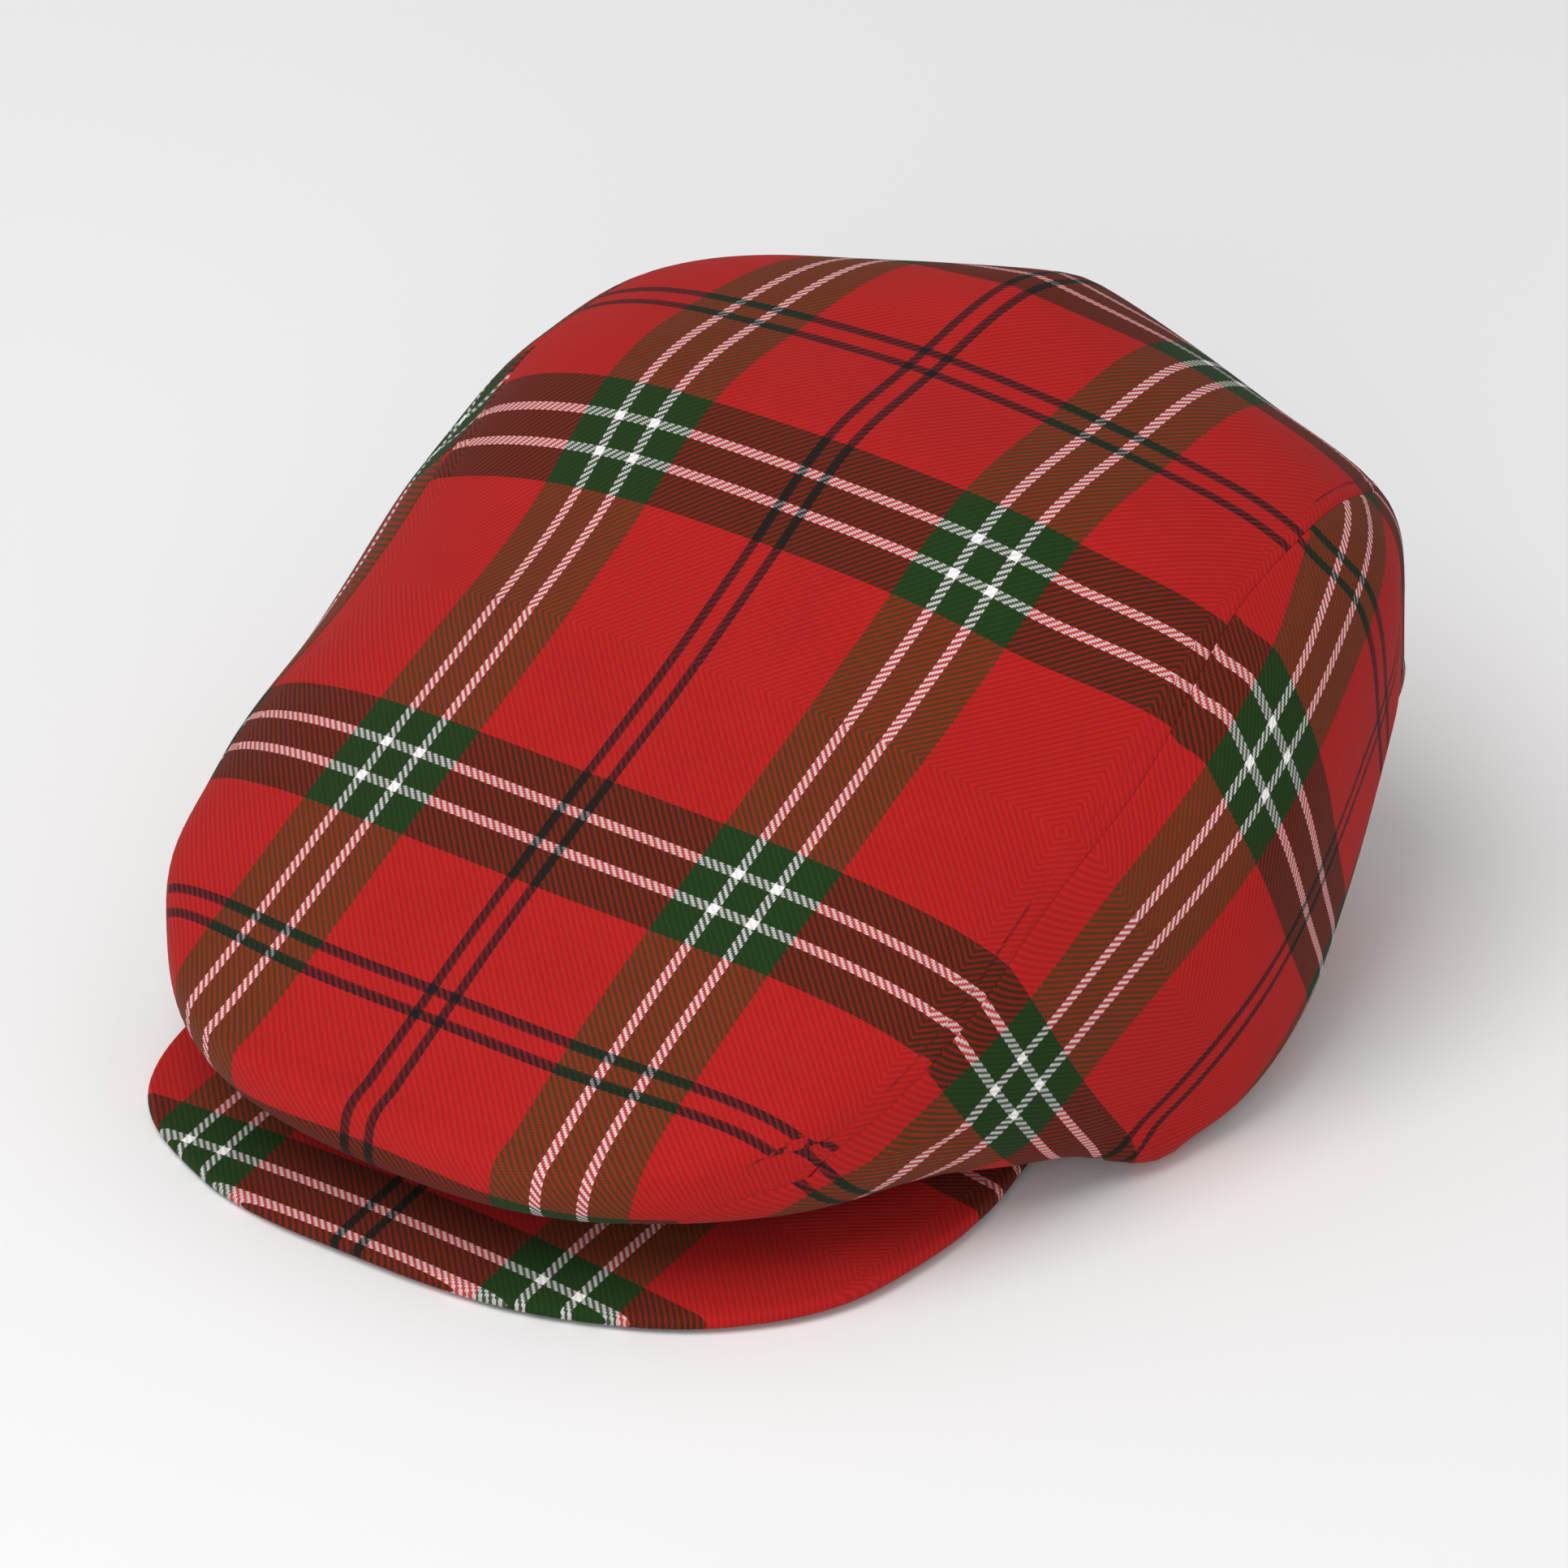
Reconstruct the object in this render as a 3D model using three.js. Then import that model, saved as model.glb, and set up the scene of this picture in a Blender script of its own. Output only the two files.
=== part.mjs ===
// Flat cap in checked cloth: one top panel that rolls over the front, two side panels and a stiff peak.
// Millimetres, +Z up.  The cap faces -Y and the wearer's left is +X.
// Origin: on the rest plane, under the middle of the cap.
import * as THREE from "three";

const CLOTH = 2.2; // thickness of the top and side panels, cloth with its backing
const PEAK_THICK = 3.2; // thickness of the covered peak board
const GAP = 0.3; // clearance kept between neighbouring pieces
const HEM = 4; // height of the upright hem round the head opening
const FOLLOW = 2.2; // value of reach at the foot of the hem
const STEP = 5; // degrees between neighbouring sections

// Upright sections through the middle, counted in degrees from the front round to the back.
// bulge, level: how far out and how high the widest point lies; square: squareness of the shoulder above it;
// rim: how far out the hem stands; tuck: squareness of the turn between the widest point and the hem.
const SECTIONS = [
  { turn: 0, bulge: 127, level: 24, square: 4.2, rim: 100, tuck: 2.0 },
  { turn: 20, bulge: 131, level: 29, square: 4.2, rim: 99, tuck: 2.0 },
  { turn: 40, bulge: 123.5, level: 31, square: 4.1, rim: 96, tuck: 2.0 },
  { turn: 60, bulge: 113.5, level: 32, square: 3.5, rim: 91.5, tuck: 1.8 },
  { turn: 80, bulge: 110.5, level: 31, square: 2.8, rim: 89.5, tuck: 4.2 },
  { turn: 100, bulge: 118.5, level: 35, square: 2.8, rim: 90.5, tuck: 4.8 },
  { turn: 120, bulge: 127, level: 53.5, square: 4.0, rim: 92, tuck: 2.9 },
  { turn: 135, bulge: 138.5, level: 60, square: 5.8, rim: 95, tuck: 1.2 },
  { turn: 145, bulge: 146, level: 58, square: 6.1, rim: 97, tuck: 1.7 },
  { turn: 155, bulge: 136.5, level: 59, square: 7.2, rim: 98, tuck: 2.4 },
  { turn: 167, bulge: 132.2, level: 58.5, square: 8.0, rim: 99, tuck: 2.8 },
  { turn: 180, bulge: 132.3, level: 58, square: 8.0, rim: 100, tuck: 3.0 },
];

// Height of the undraped top line over the middle plane, front to back.
const SPINE = [
  { back: -120, high: 40 },
  { back: -90, high: 57 },
  { back: -60, high: 72.6 },
  { back: -30, high: 87 },
  { back: 0, high: 102.3 },
  { back: 30, high: 117.4 },
  { back: 60, high: 121.8 },
  { back: 95, high: 128 },
  { back: 130, high: 121 },
];
const CAMBER = 0.0007; // sideways fall of the top, per mm, where it is a smooth arch
const GABLE = 0.26; // sideways fall of the top at the back, where it is a ridge
const RIDGE = { from: 45, to: 130, soft: 3 }; // where the arch turns into the ridge, and its softness

// The seam between the top panel and a side panel.  reach: 0 in the middle of the top, 1 at the widest
// point, 2 at the head of the hem.
const SEAM = [
  { turn: 24, reach: 2.2 },
  { turn: 27, reach: 1.7 },
  { turn: 30, reach: 1.36 },
  { turn: 34, reach: 1.16 },
  { turn: 40, reach: 1.04 },
  { turn: 50, reach: 0.93 },
  { turn: 60, reach: 0.82 },
  { turn: 70, reach: 0.72 },
  { turn: 85, reach: 0.64 },
  { turn: 100, reach: 0.6 },
  { turn: 115, reach: 0.61 },
  { turn: 130, reach: 0.67 },
  { turn: 145, reach: 0.79 },
  { turn: 160, reach: 0.84 },
  { turn: 180, reach: 0.86 },
];

// Outer edge of the worn peak on each side, and the rise of its upper face behind its front edge.
const PEAK_EDGE = [
  { turn: 0, left: 131.8, right: 131.8 },
  { turn: 20, left: 133, right: 134.8 },
  { turn: 35, left: 131.2, right: 131 },
  { turn: 45, left: 125.5, right: 116.5 },
  { turn: 55, left: 114, right: 99.5 },
  { turn: 65, left: 102.5, right: 92 },
  { turn: 75, left: 92, right: 88.5 },
  { turn: 82, left: 88, right: 87.5 },
];
const PEAK_RISE = [
  { back: 0, rise: 0.4 },
  { back: 25, rise: 4.5 },
  { back: 50, rise: 7 },
  { back: 80, rise: 7.5 },
  { back: 115, rise: 6.6 },
];
const PEAK_FRONT = -132.5; // where the peak's front edge lies
const PEAK_ARCH = 0.0007; // sideways fall of the peak, per mm
const PEAK_BACK = 84; // distance from the middle to the peak's back edge
const PEAK_END = 82; // degrees from the front to each end of the peak
const STEP_DOWN = 6; // degrees over which the hem steps down behind the end of the peak

// Dents and soft folds of the worn cloth.  wide in degrees, tall in reach, deep in mm (below zero: swells).
const FOLDS = [
  { turn: 84, reach: 1.68, wide: 6, tall: 0.25, deep: -6.0 },
  { turn: -84, reach: 1.68, wide: 6, tall: 0.25, deep: -2.0 },
  { turn: 95, reach: 1.65, wide: 8, tall: 0.25, deep: -2.5 },
  { turn: 140, reach: 0.96, wide: 6, tall: 0.12, deep: 2.0 },
  { turn: -140, reach: 0.96, wide: 6, tall: 0.12, deep: 2.0 },
  { turn: -108, reach: 0.66, wide: 5, tall: 0.09, deep: 2.4 },
  { turn: 160, reach: 1.5, wide: 8, tall: 0.3, deep: 2.6 },
  { turn: -162, reach: 1.45, wide: 9, tall: 0.3, deep: 2.2 },
  { turn: 124, reach: 1.5, wide: 8, tall: 0.3, deep: 2.2 },
  { turn: -128, reach: 1.55, wide: 7, tall: 0.3, deep: 2.4 },
  { turn: 44, reach: 0.88, wide: 7, tall: 0.1, deep: -1.2 },
  { turn: -46, reach: 0.9, wide: 7, tall: 0.1, deep: -1.2 },
];

// Smooth curve through a table: a cubic with the slope of the parabola through each three rows.
// levelStart: the curve leaves its first row level, as it does where it runs on over the middle plane.
function curve(rows, key, value, levelStart) {
  const at = rows.map((row) => row[key]);
  const out = rows.map((row) => row[value]);
  const last = rows.length - 1;
  const rise = at.slice(1).map((a, i) => (out[i + 1] - out[i]) / (a - at[i]));
  const slope = at.map((_, i) => {
    if (i === 0) return levelStart ? 0 : rise[0];
    if (i === last) return rise[last - 1];
    const before = at[i] - at[i - 1];
    const after = at[i + 1] - at[i];
    return (rise[i - 1] * after + rise[i] * before) / (before + after);
  });
  return (x) => {
    const c = Math.min(Math.max(x, at[0]), at[last]);
    let i = 0;
    while (i < last - 1 && c > at[i + 1]) i += 1;
    const wide = at[i + 1] - at[i];
    const t = (c - at[i]) / wide;
    const u = 1 - t;
    return (
      out[i] * u * u * (1 + 2 * t) +
      out[i + 1] * t * t * (3 - 2 * t) +
      slope[i] * wide * t * u * u -
      slope[i + 1] * wide * t * t * u
    );
  };
}

const bulgeAt = curve(SECTIONS, "turn", "bulge", true);
const levelAt = curve(SECTIONS, "turn", "level", true);
const squareAt = curve(SECTIONS, "turn", "square", true);
const rimAt = curve(SECTIONS, "turn", "rim", true);
const tuckAt = curve(SECTIONS, "turn", "tuck", true);
const spineAt = curve(SPINE, "back", "high", false);
const seamAt = curve(SEAM, "turn", "reach", false);
const peakLeftAt = curve(PEAK_EDGE, "turn", "left", true);
const peakRightAt = curve(PEAK_EDGE, "turn", "right", true);
const peakRiseAt = curve(PEAK_RISE, "back", "rise", false);

const radians = (degrees) => (degrees * Math.PI) / 180;
const between = (a, b, t) => a + (b - a) * t;

function smoothStep(from, to, x) {
  const t = Math.min(Math.max((x - from) / (to - from), 0), 1);
  return t * t * (3 - 2 * t);
}

// Position at a distance out from the middle, in the direction of a section.
function place(turn, out, high) {
  return new THREE.Vector3(out * Math.sin(radians(turn)), -out * Math.cos(radians(turn)), high);
}

function peakTop(x, y) {
  return PEAK_THICK + peakRiseAt(y - PEAK_FRONT) - PEAK_ARCH * x * x;
}

// Height of what the hem stands on: the peak in front, the rest plane behind it.
function standAt(x, y) {
  const turn = Math.abs((Math.atan2(x, -y) * 180) / Math.PI);
  const off = smoothStep(PEAK_END + 1, PEAK_END + 1 + STEP_DOWN, turn);
  return (peakTop(x, y) + GAP) * (1 - off);
}

function topHeight(x, y) {
  const ridge = smoothStep(RIDGE.from, RIDGE.to, y);
  const aside = Math.hypot(x, RIDGE.soft) - RIDGE.soft;
  return spineAt(y) - (1 - ridge) * CAMBER * x * x - ridge * GABLE * aside;
}

// Outer face of the cloth, before its folds.
function plainPoint(turn, reach) {
  const t = Math.abs(turn);
  const bulge = bulgeAt(t);
  const level = levelAt(t);
  if (reach <= 1) {
    const part = Math.sin((reach * Math.PI) / 2);
    const p = place(turn, part * bulge, 0);
    const fill = Math.pow(1 - Math.pow(part, squareAt(t)), 1 / squareAt(t));
    p.z = level + (topHeight(p.x, p.y) - level) * fill;
    return p;
  }
  const rim = rimAt(t);
  const foot = place(turn, rim, 0);
  foot.z = standAt(foot.x, foot.y);
  if (reach >= 2) {
    foot.z += (HEM * (FOLLOW - Math.min(reach, FOLLOW))) / (FOLLOW - 2);
    return foot;
  }
  const angle = ((reach - 1) * Math.PI) / 2;
  const power = 2 / tuckAt(t);
  const out = rim + (bulge - rim) * Math.pow(Math.cos(angle), power);
  const head = foot.z + HEM;
  return place(turn, out, level + (head - level) * Math.pow(Math.sin(angle), power));
}

// Direction out of the cloth, from two short steps along the face.
function outward(turn, reach) {
  const r = Math.max(reach, 0.02);
  const along = plainPoint(turn + 0.5, r).sub(plainPoint(turn - 0.5, r));
  const low = Math.max(r - 0.01, 0.005);
  const high = Math.min(r + 0.01, FOLLOW);
  const down = plainPoint(turn, high).sub(plainPoint(turn, low));
  return down.cross(along).normalize();
}

function foldDepth(turn, reach) {
  return FOLDS.reduce((sum, fold) => {
    const aside = (((turn - fold.turn + 540) % 360) - 180) / fold.wide;
    const up = (reach - fold.reach) / fold.tall;
    return sum + fold.deep * Math.exp(-aside * aside - up * up);
  }, 0);
}

// Outer face (depth 0) and inner face (depth CLOTH) of the worn cloth.  At the foot both stand level.
function clothPoint(turn, reach, depth) {
  if (reach >= FOLLOW) {
    const p = place(turn, rimAt(Math.abs(turn)) - depth, 0);
    p.z = standAt(p.x, p.y);
    return p;
  }
  const p = plainPoint(turn, reach);
  const sink = depth + foldDepth(turn, reach);
  if (reach < 0.01) return p.setZ(p.z - sink);
  return p.addScaledVector(outward(turn, reach), -sink);
}

// Collects corners and triangles of one closed body.
class Body {
  constructor() {
    this.corners = [];
    this.faces = [];
  }
  add(point) {
    this.corners.push(point.x, point.y, point.z);
    return this.corners.length / 3 - 1;
  }
  quad(a, b, c, d) {
    this.faces.push(a, b, c, a, c, d);
  }
  mesh(name, colour, roughness) {
    const geometry = new THREE.BufferGeometry();
    geometry.setAttribute("position", new THREE.Float32BufferAttribute(this.corners, 3));
    geometry.setIndex(this.faces);
    geometry.computeVertexNormals();
    const material = new THREE.MeshStandardMaterial({ color: colour, roughness, metalness: 0 });
    const mesh = new THREE.Mesh(geometry, material);
    mesh.name = name;
    return mesh;
  }
}

// Joins an outer and an inner grid of corners, [row][column], into one closed wall.
function joinGrids(body, outer, inner, closedRound) {
  const rows = outer.length;
  const columns = outer[0].length;
  const spans = closedRound ? columns : columns - 1;
  for (let c = 0; c < spans; c += 1) {
    const next = (c + 1) % columns;
    for (let r = 0; r + 1 < rows; r += 1) {
      body.quad(outer[r][c], outer[r + 1][c], outer[r + 1][next], outer[r][next]);
      body.quad(inner[r][next], inner[r + 1][next], inner[r + 1][c], inner[r][c]);
    }
    const foot = rows - 1;
    body.quad(outer[foot][c], inner[foot][c], inner[foot][next], outer[foot][next]);
    if (!closedRound) body.quad(inner[0][c], outer[0][c], outer[0][next], inner[0][next]);
  }
  if (closedRound) return;
  const end = columns - 1;
  for (let r = 0; r + 1 < rows; r += 1) {
    body.quad(inner[r][0], inner[r + 1][0], outer[r + 1][0], outer[r][0]);
    body.quad(outer[r][end], outer[r + 1][end], inner[r + 1][end], inner[r][end]);
  }
}

// How far the reach has to move at a seam for half a gap square to the seam.
function halfGap(turn) {
  const reach = seamAt(turn);
  const low = Math.max(reach - 0.01, 0.01);
  const high = Math.min(reach + 0.01, FOLLOW);
  const down = plainPoint(turn, high).sub(plainPoint(turn, low));
  const run = plainPoint(turn + 0.5, seamAt(turn + 0.5)).sub(plainPoint(turn - 0.5, seamAt(turn - 0.5)));
  const slant = down.clone().cross(run).length() / (down.length() * run.length());
  return ((GAP / 2) * (high - low)) / (down.length() * Math.max(slant, 0.15));
}

const SEAM_START = SEAM[0].turn;

// Sections shared by both sides of the seam, closer together where the side panels begin and where
// the hem steps down off the end of the peak.
const SEAM_TURNS = [PEAK_END + 1, PEAK_END + 1 + STEP_DOWN];
for (let turn = SEAM_START; turn < 40; turn += 2) SEAM_TURNS.push(turn);
for (let turn = 40; turn < 180; turn += STEP) SEAM_TURNS.push(turn);
SEAM_TURNS.sort((a, b) => a - b);

function topEdge(turn) {
  const t = Math.abs(turn);
  if (t <= SEAM_START) return FOLLOW;
  return seamAt(t) - halfGap(t);
}

// Rows of the top panel: shares of the way to its shoulder, then shares of the way from there to its edge.
const DOME_ROWS = [0.15, 0.32, 0.47, 0.6, 0.72, 0.82, 0.9, 0.95];
const ROLL_ROWS = [0.1, 0.28, 0.5, 0.7, 0.84, 1];

function topReach(turn, row) {
  const edge = topEdge(turn);
  const shoulder = Math.min(edge, 1);
  if (row < DOME_ROWS.length) return DOME_ROWS[row] * shoulder;
  return between(DOME_ROWS.at(-1) * shoulder, edge, ROLL_ROWS[row - DOME_ROWS.length]);
}

function topPanel() {
  const body = new Body();
  const turns = [180, ...SEAM_TURNS, ...SEAM_TURNS.map((turn) => -turn)];
  for (let turn = -22; turn <= 22; turn += 4) turns.push(turn);
  turns.sort((a, b) => a - b);
  const rows = [...DOME_ROWS, ...ROLL_ROWS];
  const grid = (depth) =>
    rows.map((_, row) => turns.map((turn) => body.add(clothPoint(turn, topReach(turn, row), depth))));
  const outer = grid(0);
  const inner = grid(CLOTH);
  joinGrids(body, outer, inner, true);
  const crown = body.add(clothPoint(0, 0, 0));
  const under = body.add(clothPoint(0, 0, CLOTH));
  turns.forEach((_, c) => {
    const next = (c + 1) % turns.length;
    body.faces.push(crown, outer[0][c], outer[0][next]);
    body.faces.push(under, inner[0][next], inner[0][c]);
  });
  return body.mesh("crown_top", 0xb8282a, 0.9);
}

const SIDE_ROWS = [0, 0.12, 0.25, 0.38, 0.5, 0.62, 0.73, 0.83, 0.92, 1];

// side: +1 for the wearer's left, -1 for the right.
function sidePanel(side, name) {
  const body = new Body();
  const turns = SEAM_TURNS.slice(1);
  turns.push(180 - ((GAP / 2) * 180) / (Math.PI * rimAt(180)));
  if (side < 0) turns.reverse();
  const shareReach = (turn, share) => {
    const start = seamAt(turn) + halfGap(turn);
    return share < 1 ? between(start, 2, share / 0.92) : FOLLOW;
  };
  const grid = (depth) =>
    SIDE_ROWS.map((share) =>
      turns.map((turn) => body.add(clothPoint(side * turn, shareReach(turn, share), depth))),
    );
  joinGrids(body, grid(0), grid(CLOTH), false);
  return body.mesh(name, 0xb8282a, 0.9);
}

// Cross-section of the peak: share of its depth from the back edge to the start of its rounded front,
// depth below its upper face, and how far it swells beyond that start, both in shares of the thickness.
const PEAK_LOOP = [
  { share: 0, below: 0, swell: 0 },
  { share: 0.3, below: 0, swell: 0 },
  { share: 0.6, below: 0, swell: 0 },
  { share: 0.85, below: 0, swell: 0 },
  { share: 1, below: 0, swell: 0 },
  { share: 1, below: 0.15, swell: 0.35 },
  { share: 1, below: 0.5, swell: 0.5 },
  { share: 1, below: 0.85, swell: 0.35 },
  { share: 1, below: 1, swell: 0 },
  { share: 0.85, below: 1, swell: 0 },
  { share: 0.6, below: 1, swell: 0 },
  { share: 0.3, below: 1, swell: 0 },
  { share: 0, below: 1, swell: 0 },
];

function peakPoint(turn, row) {
  const edge = turn > 0 ? peakLeftAt(turn) : peakRightAt(-turn);
  const out = between(PEAK_BACK, edge - PEAK_THICK / 2, row.share) + row.swell * PEAK_THICK;
  const p = place(turn, out, 0);
  return p.setZ(peakTop(p.x, p.y) - row.below * PEAK_THICK);
}

function peak() {
  const body = new Body();
  const turns = [];
  for (let turn = -PEAK_END; turn <= PEAK_END; turn += PEAK_END / 20) turns.push(turn);
  const loops = turns.map((turn) => PEAK_LOOP.map((row) => body.add(peakPoint(turn, row))));
  const count = PEAK_LOOP.length;
  for (let c = 0; c + 1 < loops.length; c += 1) {
    for (let i = 0; i < count; i += 1) {
      const next = (i + 1) % count;
      body.quad(loops[c][i], loops[c][next], loops[c + 1][next], loops[c + 1][i]);
    }
  }
  const fan = (loop) => {
    for (let i = 1; i + 1 < loop.length; i += 1) body.faces.push(loop[0], loop[i], loop[i + 1]);
  };
  fan([...loops[0]].reverse());
  fan(loops[loops.length - 1]);
  return body.mesh("peak", 0xa82426, 0.9);
}

const cap = new THREE.Group();
cap.name = "flat_cap";
cap.add(topPanel());
cap.add(sidePanel(1, "side_panel_left"));
cap.add(sidePanel(-1, "side_panel_right"));
cap.add(peak());

export default cap;
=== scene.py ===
# Looks of the flat cap: checked twill panels, covered peak, pale floor and soft light.
# Shapes are worked out in millimetres, +Z up, with the cap facing -Y, and scaled to metres at the end.
import math

import bpy
import numpy as np
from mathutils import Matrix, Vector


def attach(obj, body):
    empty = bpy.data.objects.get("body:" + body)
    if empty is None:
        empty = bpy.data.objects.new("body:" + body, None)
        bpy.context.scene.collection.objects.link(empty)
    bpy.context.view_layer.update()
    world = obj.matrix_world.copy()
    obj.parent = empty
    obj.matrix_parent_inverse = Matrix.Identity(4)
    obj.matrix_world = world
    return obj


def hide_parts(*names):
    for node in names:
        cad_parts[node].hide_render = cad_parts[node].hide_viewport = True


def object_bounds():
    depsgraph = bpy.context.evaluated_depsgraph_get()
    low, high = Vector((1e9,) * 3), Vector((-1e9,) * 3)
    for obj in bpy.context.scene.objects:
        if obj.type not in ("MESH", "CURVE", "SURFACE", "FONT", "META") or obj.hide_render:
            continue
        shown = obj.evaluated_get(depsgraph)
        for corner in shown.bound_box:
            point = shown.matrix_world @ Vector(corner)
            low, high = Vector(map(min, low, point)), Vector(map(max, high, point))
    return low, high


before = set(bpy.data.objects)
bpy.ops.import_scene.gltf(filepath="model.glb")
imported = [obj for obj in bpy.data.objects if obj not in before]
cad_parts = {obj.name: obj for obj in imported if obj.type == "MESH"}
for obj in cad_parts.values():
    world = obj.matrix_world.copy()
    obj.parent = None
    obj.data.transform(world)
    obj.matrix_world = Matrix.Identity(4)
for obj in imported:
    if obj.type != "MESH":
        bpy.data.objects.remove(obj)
CAD_LOW, CAD_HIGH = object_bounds()
MM = 0.001

# ---------------------------------------------------------------- the cap's named sizes, as in its source

CLOTH = 2.2  # thickness of the panels
PEAK_THICK = 3.2  # thickness of the covered peak
GAP = 0.3  # clearance between the crown and the peak
HEM = 4.0  # height of the upright hem
FOLLOW = 2.2  # value of reach at the foot of the hem
SEAM_GAP = 0.06  # clearance between two sewn panels

# upright sections through the middle, counted in degrees from the front round to the back: how far out and
# how high the widest point lies, squareness of the shoulder above it, how far out the hem stands, and
# squareness of the turn between the widest point and the hem.
# The rows of SECTIONS, SPINE and PEAK_EDGE, and GABLE, are the rounded results of a least-squares fit
# to the photo's outline, some nudged after it.  They are not worked out from driving dimensions.
SECTION_COLUMNS = ("turn", "bulge", "level", "square", "rim", "tuck")
SECTIONS = (
    (0, 127, 24, 4.2, 100, 2.0),
    (20, 131, 29, 4.2, 99, 2.0),
    (40, 123.5, 31, 4.1, 96, 2.0),
    (60, 113.5, 32, 3.5, 91.5, 1.8),
    (80, 110.5, 31, 2.8, 89.5, 4.2),
    (100, 118.5, 35, 2.8, 90.5, 4.8),
    (120, 127, 53.5, 4.0, 92, 2.9),
    (135, 138.5, 60, 5.8, 95, 1.2),
    (145, 146, 58, 6.1, 97, 1.7),
    (155, 136.5, 59, 7.2, 98, 2.4),
    (167, 132.2, 58.5, 8.0, 99, 2.8),
    (180, 132.3, 58, 8.0, 100, 3.0),
)

# height of the undraped top line over the middle plane, front to back
SPINE_COLUMNS = ("back", "high")
SPINE = (
    (-120, 40),
    (-90, 57),
    (-60, 72.6),
    (-30, 87),
    (0, 102.3),
    (30, 117.4),
    (60, 121.8),
    (95, 128),
    (130, 121),
)
CAMBER = 0.0007  # sideways fall of the top, per mm, where it is a smooth arch
GABLE = 0.26  # sideways fall of the top at the back, where it is a ridge
RIDGE_FROM = 45  # where the arch starts to turn into the ridge
RIDGE_TO = 130  # and where it has done so
RIDGE_SOFT = 3  # softness of the ridge

# seam between the top panel and a side panel; reach is 0 in the middle of the top, 1 at the widest point
# and 2 at the head of the hem.  Its middle rows follow points on the photo, placed on the shape by
# a ray-cast, then smoothed.
SEAM_COLUMNS = ("turn", "reach")
SEAM = (
    (24, 2.2),
    (27, 1.7),
    (30, 1.36),
    (34, 1.16),
    (40, 1.04),
    (50, 0.93),
    (60, 0.82),
    (70, 0.72),
    (85, 0.64),
    (100, 0.6),
    (115, 0.61),
    (130, 0.67),
    (145, 0.79),
    (160, 0.84),
    (180, 0.86),
)

# outer edge of the worn peak on each side, and the rise of its upper face behind its front edge
PEAK_EDGE_COLUMNS = ("turn", "left", "right")
PEAK_EDGE = (
    (0, 131.8, 131.8),
    (20, 133, 134.8),
    (35, 131.2, 131),
    (45, 125.5, 116.5),
    (55, 114, 99.5),
    (65, 102.5, 92),
    (75, 92, 88.5),
    (82, 88, 87.5),
)
PEAK_RISE_COLUMNS = ("back", "rise")
PEAK_RISE = (
    (0, 0.4),
    (25, 4.5),
    (50, 7),
    (80, 7.5),
    (115, 6.6),
)
PEAK_FRONT = -132.5  # where the peak's front edge lies
PEAK_ARCH = 0.0007  # sideways fall of the peak, per mm
PEAK_BACK = 84  # distance from the middle to the peak's back edge
PEAK_END = 82  # degrees from the front to each end of the peak
STEP_DOWN = 6  # degrees over which the hem steps down behind the end of the peak

# dents and soft folds: wide in degrees, tall in reach, deep in mm (below zero: swells)
FOLD_COLUMNS = ("turn", "reach", "wide", "tall", "deep")
FOLDS = (
    (84, 1.68, 6, 0.25, -6.0),
    (-84, 1.68, 6, 0.25, -2.0),
    (95, 1.65, 8, 0.25, -2.5),
    (140, 0.96, 6, 0.12, 2.0),
    (-140, 0.96, 6, 0.12, 2.0),
    (-108, 0.66, 5, 0.09, 2.4),
    (160, 1.5, 8, 0.3, 2.6),
    (-162, 1.45, 9, 0.3, 2.2),
    (124, 1.5, 8, 0.3, 2.2),
    (-128, 1.55, 7, 0.3, 2.4),
    (44, 0.88, 7, 0.1, -1.2),
    (-46, 0.9, 7, 0.1, -1.2),
)

SEAM_DIP = 0.25  # how far the cloth sinks in at a seam
SEAM_DIP_WIDE = 0.6  # and over what distance from it
FAR = 1e3  # distance from a seam that counts as far away

# ---------------------------------------------------------------- the check, in millimetres on the cloth

# HALF_SETT and BAND_AT are rounded from a least-squares fit; the widths were read from crops.
HALF_SETT = 91.5  # from the dark pair to the plain red, where the check turns back
YARNS = 208  # yarns in half a sett
YARN = HALF_SETT / YARNS
BAND_AT = 45.7  # middle of the green band
BAND_WIDE = 28.4  # width of the green band
WHITE_APART = 9.0  # between the two white lines of a band
WHITE_WIDE = 2.2  # width of a white line
DARK_APART = 5.9  # between the two dark lines of the pair
DARK_WIDE = 2.0  # width of a dark line
FIRST_DARK_BACK = -104  # where the front dark pair crosses the middle line of the crown

# how far the worn top panel's check is drawn from its place on the flat piece: on along it in the middle
# and sag further at each green band, and across it aside in the middle and spread further at each band;
# edge: how much further along it near the left seam
CROWN_DRAW_COLUMNS = ("along", "on", "sag", "aside", "spread", "edge")
CROWN_DRAW = (
    (-35, -5.3, 0.0, 4.4, 1.6, 0.0),
    (5, -6.0, 0.6, 2.0, 1.2, 0.0),
    (50, -4.1, 0.0, 0.0, 0.6, 0.0),
    (139, -1.5, 0.0, -0.6, 0.3, -5.0),
    (184, -1.6, 0.0, 0.3, -0.3, -3.0),
    (236, 2.0, -11.5, -2.0, 5.0, 0.0),
)
CROWN_EDGE = (60, 100)  # distances from the middle where edge starts to act and acts in full

# where the check lies on the left side panel, across and along; the right one mirrors it.  turn and reach
# are rounded from a ray-cast of points on the photo.
SIDE_CHECK_COLUMNS = ("turn", "reach", "across", "along")
SIDE_CHECK = (
    (44, 1.05, 124, 0),
    (51, 1.24, 132.7, 14),
    (66.4, 0.99, 137.2, 45.7),
    (106, 0.755, 137.2, 137.2),
    (128, 0.75, 137.2, 183),
    (82.5, 1.51, 183, 60),
    (92, 1.02, 183, 88),
    (108, 0.99, 183, 137.2),
    (127, 0.99, 183, 183),
    (113, 1.15, 214.5, 137.2),
)
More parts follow.
